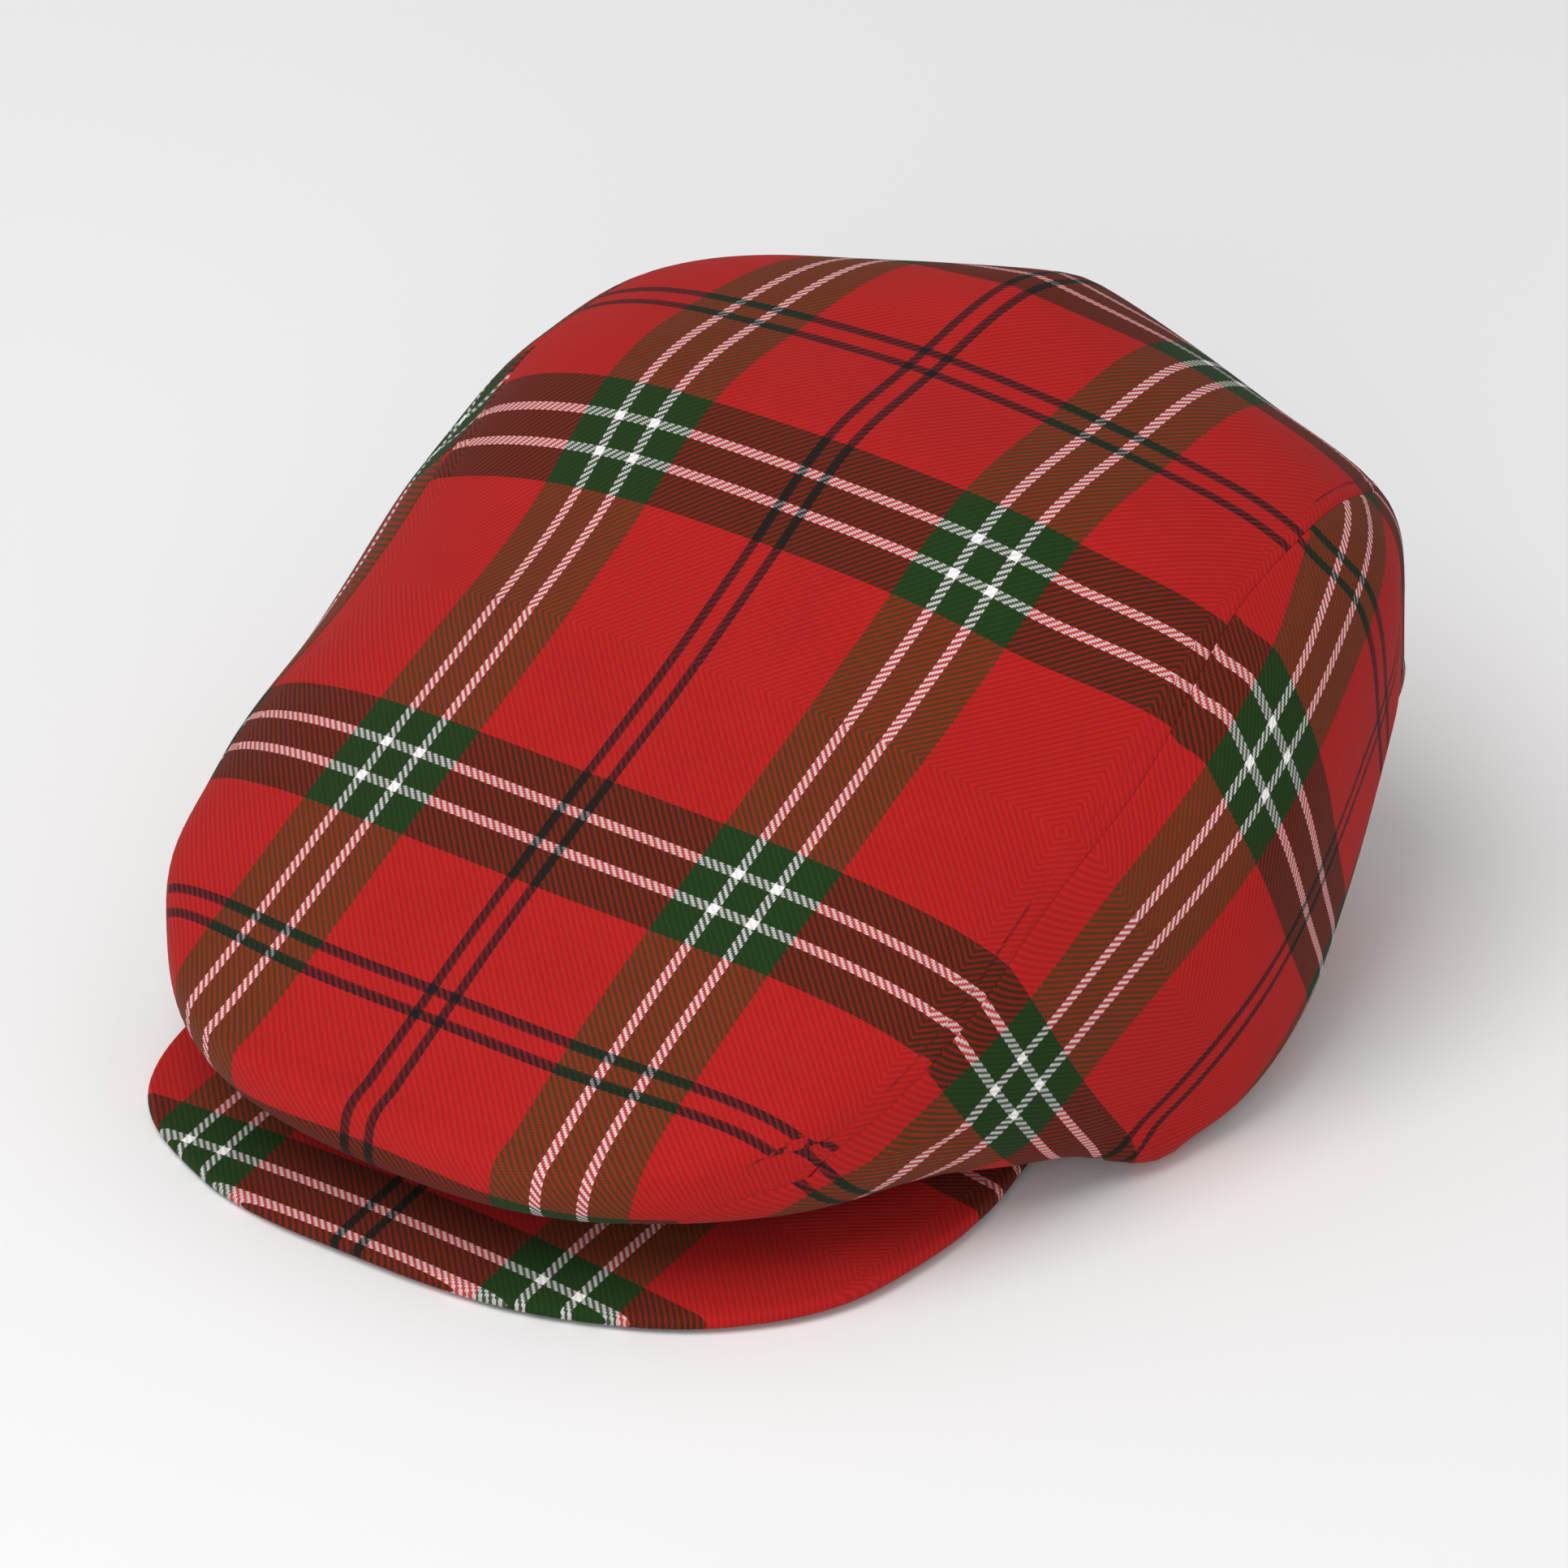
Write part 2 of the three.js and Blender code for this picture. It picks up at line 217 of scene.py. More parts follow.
# how far the left side panel's check is drawn at the seam, where it meets the top panel's: on along it,
# dying out within that much reach below the seam, and aside across it
SEAM_DRAW_COLUMNS = ("turn", "on", "within", "aside")
SEAM_DRAW = (
    (40, 0, 0.1, 0),
    (52, 0, 0.1, -5),
    (66, 0, 0.1, -10),
    (82, 0, 0.08, -10),
    (98, 4, 0.08, -9),
    (113, 5, 0.1, -7),
    (125, 6, 0.2, -4),
    (136, 4, 0.2, -5),
    (155, 0, 0.2, 0),
)
ASIDE_WITHIN = 0.28  # reach below the seam over which the draw aside dies out
PEAK_CHECK_AT = (3.6, 38.0)

# colours of the yarns, and how they show in the weave
RED = (0.45, 0.014, 0.013)
GREEN = (0.015, 0.043, 0.009)
DARK = (0.013, 0.010, 0.012)
WHITE = (0.93, 0.91, 0.89)
WEFT_CROSS_DARK = (0.02, 0.006, 0.004)  # dark colour that red is drawn toward where a green weft crosses it
LEAK = 0.15  # share of the yarn underneath that shows through the one above
WHITE_LEAK = 0.30  # further share where the one above is white
WHITE_HIDDEN = 0.7  # how much less of a white yarn shows through from underneath
DARK_BLEED = 0.62  # how far a dark line darkens the yarns that cross it
WEFT_DIM = 0.52  # how much darker red is where a green weft crosses it
WARP_TINT = 0.25  # how far a green warp tints the red that crosses it

# relief of the weave and its shading
RIB_RELIEF = 0.6  # share of the twill's ribs
YARN_RELIEF = 0.25  # share of each yarn's roundness
FUZZ_RELIEF = 0.3  # share of the nap
FUZZ_SCALE = 1500.0
MOTTLE_SCALE = 45.0
BUMP_DEEP = 0.22  # in mm
HOLLOW_SHADE = 0.66  # brightness in the hollows
SHADE_BY_RELIEF = 0.42  # further brightness on the ribs
SHADE_BY_MOTTLE = 0.16  # slow unevenness of the brightness


# ---------------------------------------------------------------- the fine meshes

COLUMN_STEP = 1.5  # degrees between columns
EDGE_ROWS = np.array([3.4, 2.6, 1.9, 1.3, 0.8, 0.4, 0.1, 0.0])  # distances of the last rows from an edge
LIP_ROWS = 5  # rows across the cut edge of the cloth
DOME_ROWS = 56  # rows of the top panel before its edge
DOME_SHARE = 0.95  # share of the way to the edge, or to the widest point, that they take
DOME_CROWD = 0.35  # how much closer together they get on the way
ROLL_ROWS = 30  # rows of the top panel that roll under at the front
SIDE_ROWS = 56  # rows of a side panel between its seam and the hem
HEM_ROWS = 6  # rows of the hem
FRONT_COLUMNS = np.array([0.6, 1.2, 1.8, 2.5, 3.3, 4.2, 5.1])  # degrees from a side panel's front end
MIDDLE_COLUMNS = (30.5, 177.5)  # turns between which a side panel's columns are evenly spaced
BACK_COLUMNS = np.array([4.4, 3.4, 2.6, 1.9, 1.3, 0.8, 0.4, 0.1, SEAM_GAP / 2])  # mm from the back seam
PEAK_COLUMNS = 150  # columns of the peak
PEAK_ROWS = 26  # rows over the peak, and as many under it
NOSE_ROWS = 9  # rows round its edge
SEAM_START = SEAM[0][0]  # degrees from the front to where the seam leaves the hem
MOST_REACH = 0.2 / HEM  # most that reach moves for each millimetre
FLATTEN_STEPS = 12


# ---------------------------------------------------------------- curves and surfaces


def column(rows, columns, name):
    """One column of a table."""
    return np.array([row[columns.index(name)] for row in rows], float)


def curve(rows, columns, key, value, level_start=False):
    """Smooth curve through a table: a cubic with the slope of the parabola through each three rows.

    level_start: it leaves its first row level, as it does where it runs on over the middle plane.
    """
    at = column(rows, columns, key)
    out = column(rows, columns, value)
    rise = np.diff(out) / np.diff(at)
    before = np.diff(at)[:-1]
    after = np.diff(at)[1:]
    inner = (rise[:-1] * after + rise[1:] * before) / (before + after)
    slope = np.concatenate([[0.0 if level_start else rise[0]], inner, [rise[-1]]])

    def value_at(x):
        c = np.clip(np.asarray(x, float), at[0], at[-1])
        i = np.clip(np.searchsorted(at, c) - 1, 0, len(at) - 2)
        wide = at[i + 1] - at[i]
        t = (c - at[i]) / wide
        u = 1 - t
        ends = out[i] * u * u * (1 + 2 * t) + out[i + 1] * t * t * (3 - 2 * t)
        return ends + slope[i] * wide * t * u * u - slope[i + 1] * wide * t * t * u

    return value_at


def curves(rows, columns, at):
    """Values at these places of the smooth curves through each column of a table but its first."""
    return [curve(rows, columns, columns[0], name)(at) for name in columns[1:]]


def section_curve(value):
    return curve(SECTIONS, SECTION_COLUMNS, "turn", value, level_start=True)


bulge_at = section_curve("bulge")
level_at = section_curve("level")
square_at = section_curve("square")
rim_at = section_curve("rim")
tuck_at = section_curve("tuck")
spine_at = curve(SPINE, SPINE_COLUMNS, "back", "high")
seam_at = curve(SEAM, SEAM_COLUMNS, "turn", "reach")
peak_left_at = curve(PEAK_EDGE, PEAK_EDGE_COLUMNS, "turn", "left", level_start=True)
peak_right_at = curve(PEAK_EDGE, PEAK_EDGE_COLUMNS, "turn", "right", level_start=True)
peak_rise_at = curve(PEAK_RISE, PEAK_RISE_COLUMNS, "back", "rise")


def smooth_step(start, end, x):
    """0 up to start, 1 from end on, and a smooth rise between."""
    t = np.clip((x - start) / (end - start), 0, 1)
    return t * t * (3 - 2 * t)


def place(turn, out, high):
    """Points at a distance out from the middle, in the direction of each section."""
    angle = np.radians(turn)
    return np.stack(np.broadcast_arrays(out * np.sin(angle), -out * np.cos(angle), high), -1)


def unit(v):
    return v / np.maximum(np.linalg.norm(v, axis=-1, keepdims=True), 1e-9)


def peak_top(x, y):
    """Height of the peak's upper face."""
    return PEAK_THICK + peak_rise_at(y - PEAK_FRONT) - PEAK_ARCH * x * x


def peak_edge_at(turn):
    """Distance of the peak's outer edge from the middle."""
    return np.where(turn > 0, peak_left_at(np.abs(turn)), peak_right_at(np.abs(turn)))


def stand_at(x, y):
    """Height of what the hem stands on: the peak in front, the rest plane behind it."""
    turn = np.abs(np.degrees(np.arctan2(x, -y)))
    off = smooth_step(PEAK_END + 1, PEAK_END + 1 + STEP_DOWN, turn)
    return (peak_top(x, y) + GAP) * (1 - off)


def top_height(x, y):
    """Height of the top before it falls away at the shoulder."""
    ridge = smooth_step(RIDGE_FROM, RIDGE_TO, y)
    aside = np.hypot(x, RIDGE_SOFT) - RIDGE_SOFT
    return spine_at(y) - (1 - ridge) * CAMBER * x * x - ridge * GABLE * aside


def plain_point(turn, reach):
    """Outer face of the cloth, before its folds."""
    turn, reach = np.broadcast_arrays(np.asarray(turn, float), np.asarray(reach, float))
    t = np.abs(turn)
    bulge = bulge_at(t)
    level = level_at(t)
    rim = rim_at(t)

    part = np.sin(np.clip(reach, 0, 1) * np.pi / 2)
    upper = place(turn, part * bulge, 0.0)
    fill = np.maximum(1 - part ** square_at(t), 0) ** (1 / square_at(t))
    upper[..., 2] = level + (top_height(upper[..., 0], upper[..., 1]) - level) * fill

    foot = place(turn, rim, 0.0)
    foot[..., 2] = stand_at(foot[..., 0], foot[..., 1])
    head = foot[..., 2] + HEM
    angle = np.clip(reach - 1, 0, 1) * np.pi / 2
    power = 2 / tuck_at(t)
    out = rim + (bulge - rim) * np.maximum(np.cos(angle), 0) ** power
    lower = place(turn, out, level + (head - level) * np.sin(angle) ** power)
    foot[..., 2] += HEM * (FOLLOW - np.clip(reach, 2, FOLLOW)) / (FOLLOW - 2)

    body = np.where((reach <= 1)[..., None], upper, lower)
    return np.where((reach >= 2)[..., None], foot, body)


def outward(turn, reach):
    """Direction out of the cloth, from two short steps along the face."""
    r = np.maximum(reach, 0.02)
    along = plain_point(turn + 0.5, r) - plain_point(turn - 0.5, r)
    down = plain_point(turn, np.minimum(r + 0.01, FOLLOW)) - plain_point(turn, r - 0.01)
    return unit(np.cross(down, along))


def fold_depth(turn, reach):
    """How deep the dents and folds are at each place."""
    depth = np.zeros(np.broadcast(turn, reach).shape)
    for row in FOLDS:
        fold = dict(zip(FOLD_COLUMNS, row))
        aside = ((turn - fold["turn"] + 540) % 360 - 180) / fold["wide"]
        up = (reach - fold["reach"]) / fold["tall"]
        depth = depth + fold["deep"] * np.exp(-aside * aside - up * up)
    return depth


def reach_per_mm(turn):
    """How far reach moves for each millimetre square to the seam."""
    reach = seam_at(turn)
    low = reach - 0.01
    high = np.minimum(reach + 0.01, FOLLOW)
    down = plain_point(turn, high) - plain_point(turn, low)
    run = plain_point(turn + 0.5, seam_at(turn + 0.5)) - plain_point(turn - 0.5, seam_at(turn - 0.5))
    length = np.linalg.norm(down, axis=-1)
    slant = np.linalg.norm(np.cross(down, run), axis=-1) / (length * np.linalg.norm(run, axis=-1))
    return (high - low) / (length * np.maximum(slant, 0.15))


def cloth_point(turn, reach, depth, dip):
    """Worn cloth: depth counts in from the outer face, and dip is a further sinking at a seam."""
    p = plain_point(turn, reach)
    sink = depth + dip + fold_depth(turn, reach) * (reach < 2)
    normal = np.where((reach < 0.02)[..., None], np.array([0.0, 0.0, 1.0]), outward(turn, reach))
    return p - normal * sink[..., None]


def seam_dip(distance):
    """How far the cloth sinks in at that distance from a seam."""
    return SEAM_DIP * np.exp(-((distance / SEAM_DIP_WIDE) ** 2))


# ---------------------------------------------------------------- meshes


def grid_faces(rows, columns, closed_rows, closed_columns):
    """Quads between neighbouring points of a grid of rows by columns, numbered row by row."""
    r = np.arange(rows if closed_rows else rows - 1)
    c = np.arange(columns if closed_columns else columns - 1)
    r, c = np.meshgrid(r, c, indexing="ij")
    down = (r + 1) % rows
    along = (c + 1) % columns
    corners = (r * columns + c, down * columns + c, down * columns + along, r * columns + along)
    return np.stack(corners, -1).reshape(-1, 4).tolist()


def mesh_object(name, points, faces, uv=None):
    """Smooth mesh from points in millimetres."""
    mesh = bpy.data.meshes.new(name)
    mesh.from_pydata((points * MM).tolist(), [], faces)
    mesh.validate()
    mesh.shade_smooth()
    obj = bpy.data.objects.new(name, mesh)
    bpy.context.collection.objects.link(obj)
    if uv is not None:
        set_uv(obj, uv)
    return obj


def set_uv(obj, uv):
    """Gives each vertex its place on the cloth, counted in half setts."""
    layer = obj.data.uv_layers.new(name="check")
    vertex = np.zeros(len(obj.data.loops), int)
    obj.data.loops.foreach_get("vertex_index", vertex)
    layer.data.foreach_set("uv", (uv / HALF_SETT)[vertex].ravel())


def lay_flat(points, faces):
    """Flattens a sheet with as little stretch as it allows: its pattern piece, in millimetres."""
    obj = mesh_object("pattern_piece", points, faces)
    mesh = obj.data
    mesh.uv_layers.new(name="flat")
    bpy.ops.object.select_all(action="DESELECT")
    bpy.context.view_layer.objects.active = obj
    obj.select_set(True)
    bpy.ops.object.mode_set(mode="EDIT")
    bpy.ops.mesh.select_all(action="SELECT")
    bpy.ops.uv.unwrap(method="MINIMUM_STRETCH", iterations=FLATTEN_STEPS)
    bpy.ops.object.mode_set(mode="OBJECT")
    loops = np.zeros(len(mesh.loops) * 2)
    mesh.uv_layers["flat"].data.foreach_get("uv", loops)
    vertex = np.zeros(len(mesh.loops), int)
    mesh.loops.foreach_get("vertex_index", vertex)
    flat = np.zeros((len(points), 2))
    flat[vertex] = loops.reshape(-1, 2)
    bpy.data.objects.remove(obj)
    bpy.data.meshes.remove(mesh)
    return same_area(flat, points, faces)


def same_area(flat, points, faces):
    """The flattened sheet scaled to the area of the real one."""
    triangles = np.array([half for f in faces for half in ([f[0], f[1], f[2]], [f[0], f[2], f[-1]])])
    first, second, third = triangles.T
    real = np.linalg.norm(np.cross(points[second] - points[first], points[third] - points[first]), axis=1)
    one_side = flat[second] - flat[first]
    other_side = flat[third] - flat[first]
    drawn = np.abs(one_side[:, 0] * other_side[:, 1] - one_side[:, 1] * other_side[:, 0])
    return flat * math.sqrt(real.sum() / drawn.sum())


def turn_and_shift(source, target):
    """The rotation and shift, with no mirroring, that bring source nearest to target."""
    a = source - source.mean(0)
    b = target - target.mean(0)
    angle = math.atan2((a[:, 0] * b[:, 1] - a[:, 1] * b[:, 0]).sum(), (a * b).sum())
    turned = np.array([[math.cos(angle), math.sin(angle)], [-math.sin(angle), math.cos(angle)]])
    return turned, target.mean(0) - source.mean(0) @ turned


# ---------------------------------------------------------------- top panel


def top_rows(turns):
    """Reach of each row of the top panel at each turn, pole first, and its distance from the seam."""
    t = np.abs(turns)
    sewn = t > SEAM_START
    scale = np.where(sewn, reach_per_mm(np.maximum(t, SEAM_START + 0.1)), MOST_REACH)
    scale = np.minimum(scale, MOST_REACH)
    edge = np.where(sewn, seam_at(np.maximum(t, SEAM_START)) - SEAM_GAP / 2 * scale, FOLLOW)
    shoulder = np.minimum(edge, 1)
    dome = np.linspace(0.0, 1.0, DOME_ROWS)[1:]
    dome = DOME_SHARE * ((1 + DOME_CROWD) * dome - DOME_CROWD * dome**2)
    roll = np.linspace(0.0, 1.0, ROLL_ROWS)[1:]
    last = edge - EDGE_ROWS[0] * scale
    dome_rows = dome[:, None] * shoulder
    roll_rows = dome_rows[-1] + roll[:, None] * (last - dome_rows[-1])
    edge_rows = edge - EDGE_ROWS[1:, None] * scale
    reach = np.concatenate([dome_rows, roll_rows, edge_rows])
    away = (edge - reach) / scale
    return reach, np.where(sewn, away, FAR)


def top_panel():
    """The top panel: outer face, lip along its cut edge and inner face, both closed in the middle."""
    turns = np.arange(-180, 180, COLUMN_STEP)
    reach, away = top_rows(turns)
    turn = np.broadcast_to(turns, reach.shape)
    outer = cloth_point(turn, reach, 0.0, seam_dip(away))
    inner = cloth_point(turn, reach, CLOTH, 0.0)
    lip = np.linspace(0, 1, LIP_ROWS + 2)[1:-1, None, None]
    lips = outer[-1] * (1 - lip) + inner[-1] * lip
    wall = np.concatenate([outer, lips, inner[::-1]])
    rows, columns = wall.shape[:2]
    points = np.concatenate([wall.reshape(-1, 3), centre_points()])
    faces = grid_faces(rows, columns, False, True)
    crown = rows * columns
    under = crown + 1
    last = (rows - 1) * columns
    for c in range(columns):
        along = (c + 1) % columns
        faces.append([crown, c, along])
        faces.append([under, last + along, last + c])
    flat = top_pattern(turn, reach)
    sheet = flat[:-1].reshape(len(reach), columns, 2)
    uv = np.concatenate([sheet, np.repeat(sheet[-1:], LIP_ROWS, 0), sheet[::-1]]).reshape(-1, 2)
    uv = np.concatenate([uv, flat[-1:], flat[-1:]])
    return mesh_object("crown_cloth", points, faces, uv)


def centre_points():
    """Middle of the crown on its outer and inner face."""
    top = plain_point(0.0, 0.0)
    return np.stack([top, top - [0.0, 0.0, CLOTH]])


def top_pattern(turn, reach):
    """Pattern piece of the top panel, laid with its middle line along the check's first dark pair."""
    rows, columns = reach.shape
    points = np.concatenate([plain_point(turn, reach).reshape(-1, 3), plain_point(0.0, 0.0)[None]])
    faces = grid_faces(rows, columns, False, True)
    faces += [[rows * columns, c, (c + 1) % columns] for c in range(columns)]
    flat = lay_flat(points, faces)
    middle = np.isclose(np.abs(points[:, 0]), 0, atol=1e-6) & (points[:, 2] > level_at(0.0))
    line = points[middle]
    order = np.argsort(line[:, 1])
    line = line[order]
    walked = np.concatenate([[0], np.cumsum(np.linalg.norm(np.diff(line, axis=0), axis=1))])
    walked = walked - np.interp(FIRST_DARK_BACK, line[:, 1], walked)
    target = np.stack([np.zeros(len(walked)), walked], 1)
    turned, shift = turn_and_shift(flat[middle][order], target)
    flat = flat @ turned + shift
    on, sag, aside, spread, edge = curves(CROWN_DRAW, CROWN_DRAW_COLUMNS, flat[:, 1])
    outer = smooth_step(0, BAND_AT, np.abs(flat[:, 0]))
    at_seam = smooth_step(*CROWN_EDGE, flat[:, 0])
    return flat + np.stack([aside + spread * flat[:, 0] / BAND_AT, on + sag * outer + edge * at_seam], 1)


# ---------------------------------------------------------------- side panels


def side_rows(turns):
    """Reach of each row of a side panel, seam first, and its distance from the seam."""
    scale = np.minimum(reach_per_mm(turns), MOST_REACH)
    start = seam_at(turns) + SEAM_GAP / 2 * scale
    first = start + EDGE_ROWS[::-1, None] * scale
    first = np.minimum(first, start + (2.0 - start) * 0.2 * (EDGE_ROWS[::-1, None] / EDGE_ROWS[0]))
    share = np.linspace(0, 1, SIDE_ROWS)[1:, None]
    body = first[-1] + share * (2.0 - first[-1])
    hem = 2.0 + np.linspace(0, 1, HEM_ROWS)[1:, None] * (FOLLOW - 2.0) * np.ones_like(start)
    reach = np.concatenate([first, body, hem])
    return reach, (reach - start) / scale


def side_columns():
    """Turns of the columns of a side panel, closer together at its narrow front end and at the back."""
    front = SEAM_START + FRONT_COLUMNS
    middle = np.arange(*MIDDLE_COLUMNS, COLUMN_STEP)
    back = 180 - np.degrees(BACK_COLUMNS / rim_at(180.0))
    return np.concatenate([front, middle, back])


def side_pattern(side, turns, reach, plain):
    """Pattern piece of a side panel, drawn so that its check runs through the places in SIDE_CHECK."""
    points = plain.reshape(-1, 3) * np.array([side, 1, 1])
    sheet = lay_flat(points, grid_faces(*reach.shape, False, False)).reshape(*reach.shape, 2)
    spots = [dict(zip(SIDE_CHECK_COLUMNS, row)) for row in SIDE_CHECK]
    source = []
    for spot in spots:
        down = [np.interp(spot["turn"], turns, row) for row in reach]
        ends = [[np.interp(spot["turn"], turns, row[:, k]) for row in sheet] for k in range(2)]
        source.append([np.interp(spot["reach"], down, end) for end in ends])
    target = np.array([[side * spot["across"], spot["along"]] for spot in spots])
    turned, shift = turn_and_shift(np.array(source), target)
    middle = target.mean(0)

    def terms(flat):
        x, y = np.moveaxis((flat @ turned + shift - middle) / HALF_SETT, -1, 0)
        return np.stack([np.ones_like(x), x, y, x * x, x * y, y * y], -1)

    drawn = np.linalg.lstsq(terms(np.array(source)), target, rcond=None)[0]
    check = terms(sheet) @ drawn
    if side > 0:
        on, within, aside = curves(SEAM_DRAW, SEAM_DRAW_COLUMNS, turns)
        below = reach - seam_at(turns)
        check[..., 0] += aside * (1 - smooth_step(0, ASIDE_WITHIN, below))
        check[..., 1] += on * (1 - smooth_step(0, within, below))
    return check


def side_panel(side, name):
    """A side panel: outer face, foot, inner face and head, on the left where side is 1."""
    turns = side_columns()
    reach, away = side_rows(turns)
    turn = np.broadcast_to(turns, reach.shape)
    plain = plain_point(turn, reach)
    behind = np.where(turn > 90, plain[..., 0], FAR)
    dip = np.maximum(seam_dip(away), seam_dip(behind))
    outer = cloth_point(side * turn, reach, 0.0, dip)
    inner = cloth_point(side * turn, reach, CLOTH, 0.0)
    lip = np.linspace(0, 1, LIP_ROWS + 2)[1:-1, None, None]
    foot = outer[-1] * (1 - lip) + inner[-1] * lip
    head = inner[0] * (1 - lip) + outer[0] * lip
    loop = np.concatenate([outer, foot, inner[::-1], head])
    sheet = side_pattern(side, turns, reach, plain)
    uv = np.concatenate(
        [
            sheet,
            np.repeat(sheet[-1:], LIP_ROWS, 0),
            sheet[::-1],
            np.repeat(sheet[:1], LIP_ROWS, 0),
        ]
    )
    faces = grid_faces(*loop.shape[:2], True, False)
    faces += end_caps(len(reach), len(loop), len(turns))
    if side < 0:
        faces = [f[::-1] for f in faces]
    return mesh_object(name, loop.reshape(-1, 3), faces, uv.reshape(-1, 2))


def end_caps(rows, loop, columns):
    """Faces that close the wall's thickness at both ends of a side panel."""
    faces = []
    inner = [loop - LIP_ROWS - 1 - row for row in range(rows)]  # the row behind each outer row
    for last, c in ((False, 0), (True, columns - 1)):
        strip = [[r, inner[r], inner[r + 1], r + 1] for r in range(rows - 1)]
        foot = [rows - 1, *range(rows, rows + LIP_ROWS), inner[rows - 1]]
        head = [inner[0], *range(loop - LIP_ROWS, loop), 0]
        for polygon in [*strip, foot[::-1], head[::-1]]:
            corners = [row * columns + c for row in polygon]
            faces.append(corners[::-1] if last else corners)
    return faces


# ---------------------------------------------------------------- peak


def peak():
    """The peak's cover: over the top, round the edge and back underneath, closed at both ends."""
    turns = np.linspace(-PEAK_END, PEAK_END, PEAK_COLUMNS)
    edge = peak_edge_at(turns)
    radius = PEAK_THICK / 2
    share = np.linspace(0, 1, PEAK_ROWS)[:, None]
    out = PEAK_BACK + share * (edge - radius - PEAK_BACK)
    angle = np.linspace(0, np.pi, NOSE_ROWS + 2)[1:-1, None]
    out = np.concatenate([out, edge - radius + radius * np.sin(angle), out[::-1]])
    round_edge = radius * (1 - np.cos(angle[:, 0]))
    below = np.concatenate([np.zeros(PEAK_ROWS), round_edge, np.full(PEAK_ROWS, PEAK_THICK)])
    p = place(turns, out, 0.0)
    p[..., 2] = peak_top(p[..., 0], p[..., 1]) - below[:, None]
    uv = p[..., :2] - (0.0, PEAK_FRONT) + PEAK_CHECK_AT
    rows, columns = out.shape
    faces = grid_faces(rows, columns, True, False)
    faces.append([row * columns for row in reversed(range(rows))])
    faces.append([row * columns + columns - 1 for row in range(rows)])
    return mesh_object("peak_cloth", p.reshape(-1, 3), faces, uv.reshape(-1, 2))


# ---------------------------------------------------------------- materials


class Nodes:
    """Short names for the shader nodes used here. Each call makes one node and returns its output."""

    def __init__(self, name):
        self.material = bpy.data.materials.new(name)
        self.material.use_nodes = True
        self.tree = self.material.node_tree
        self.shader = self.tree.nodes["Principled BSDF"]

    def put(self, socket, value):
        if isinstance(value, bpy.types.NodeSocket):
            self.tree.links.new(value, socket)
        elif isinstance(value, tuple) and len(value) == 3 and socket.type == "RGBA":
            socket.default_value = (*value, 1.0)
        else:
            socket.default_value = value

    def math(self, kind, a, b=0.0, c=0.0):
        node = self.tree.nodes.new("ShaderNodeMath")
        node.operation = kind
        for socket, value in zip(node.inputs, (a, b, c)):
            self.put(socket, value)
        return node.outputs[0]

    def blend(self, share, a, b):
        """a where share is 0, b where it is 1."""
        return self.math("MULTIPLY_ADD", share, self.math("SUBTRACT", b, a), a)

    def mix(self, share, a, b, kind="MIX"):
        node = self.tree.nodes.new("ShaderNodeMix")
        node.data_type = "RGBA"
        node.blend_type = kind
        self.put(node.inputs["Factor"], share)
        self.put(node.inputs[6], a)
        self.put(node.inputs[7], b)
        return node.outputs[2]

    def noise(self, where, scale, detail=2.0):
        node = self.tree.nodes.new("ShaderNodeTexNoise")
        node.inputs["Scale"].default_value = scale
        node.inputs["Detail"].default_value = detail
        self.put(node.inputs["Vector"], where)
        return node.outputs[0]

    def inside(self, distance, half, soft=0.05):
        """1 where distance is under half, 0 where it is over, softened over a small width."""
        node = self.tree.nodes.new("ShaderNodeMapRange")
        node.inputs["From Min"].default_value = half + soft
        node.inputs["From Max"].default_value = half - soft
        self.put(node.inputs["Value"], distance)
        return node.outputs[0]


def yarn_colour(n, place_mm):
    """Colour of the yarn at a distance across the check, and how far it is in a band, white and dark."""
    fold = n.math("PINGPONG", place_mm, HALF_SETT)
    from_band = n.math("ABSOLUTE", n.math("SUBTRACT", fold, BAND_AT))
    green = n.inside(from_band, BAND_WIDE / 2)
    from_white = n.math("ABSOLUTE", n.math("SUBTRACT", from_band, WHITE_APART / 2))
    white = n.inside(from_white, WHITE_WIDE / 2)
    from_dark = n.math("ABSOLUTE", n.math("SUBTRACT", fold, DARK_APART / 2))
    dark = n.inside(from_dark, DARK_WIDE / 2)
    colour = n.mix(green, RED, GREEN)
    colour = n.mix(dark, colour, DARK)
    return n.mix(white, colour, WHITE), green, white, dark


def yarn_at(n, count):
    """The same for the whole yarn that a place, counted in yarns, falls on."""
    return yarn_colour(n, n.math("MULTIPLY", n.math("ADD", n.math("FLOOR", count), 0.5), YARN))


def twill(n, across, along):
    """2 and 2 twill whose diagonal turns back at the plain red: whether the warp is on top, and the rib."""
    step_a = n.math("PINGPONG", n.math("ADD", across, float(YARNS)), 2.0 * YARNS)
    step_b = n.math("PINGPONG", n.math("ADD", along, float(YARNS)), 2.0 * YARNS)
    steps = n.math("ADD", n.math("FLOOR", step_a), n.math("FLOOR", step_b))
    phase = n.math("FRACT", n.math("MULTIPLY", n.math("ADD", steps, 0.5), 0.25))
    warp_up = n.math("LESS_THAN", phase, 0.5)
    smooth = n.math("FRACT", n.math("MULTIPLY", n.math("ADD", step_a, step_b), 0.25))
    rib = n.math("MULTIPLY_ADD", n.math("SINE", n.math("MULTIPLY", smooth, 2 * math.pi)), 0.5, 0.5)
    return warp_up, rib


def green_over_red(n, green, white, other_green):
    """Where yarns of one way are plain green and those of the other way are outside a band."""
    plain_green = n.math("SUBTRACT", green, white)
    outside = n.math("SUBTRACT", 1.0, other_green)
    return n.math("MAXIMUM", n.math("MULTIPLY", outside, plain_green), 0.0)


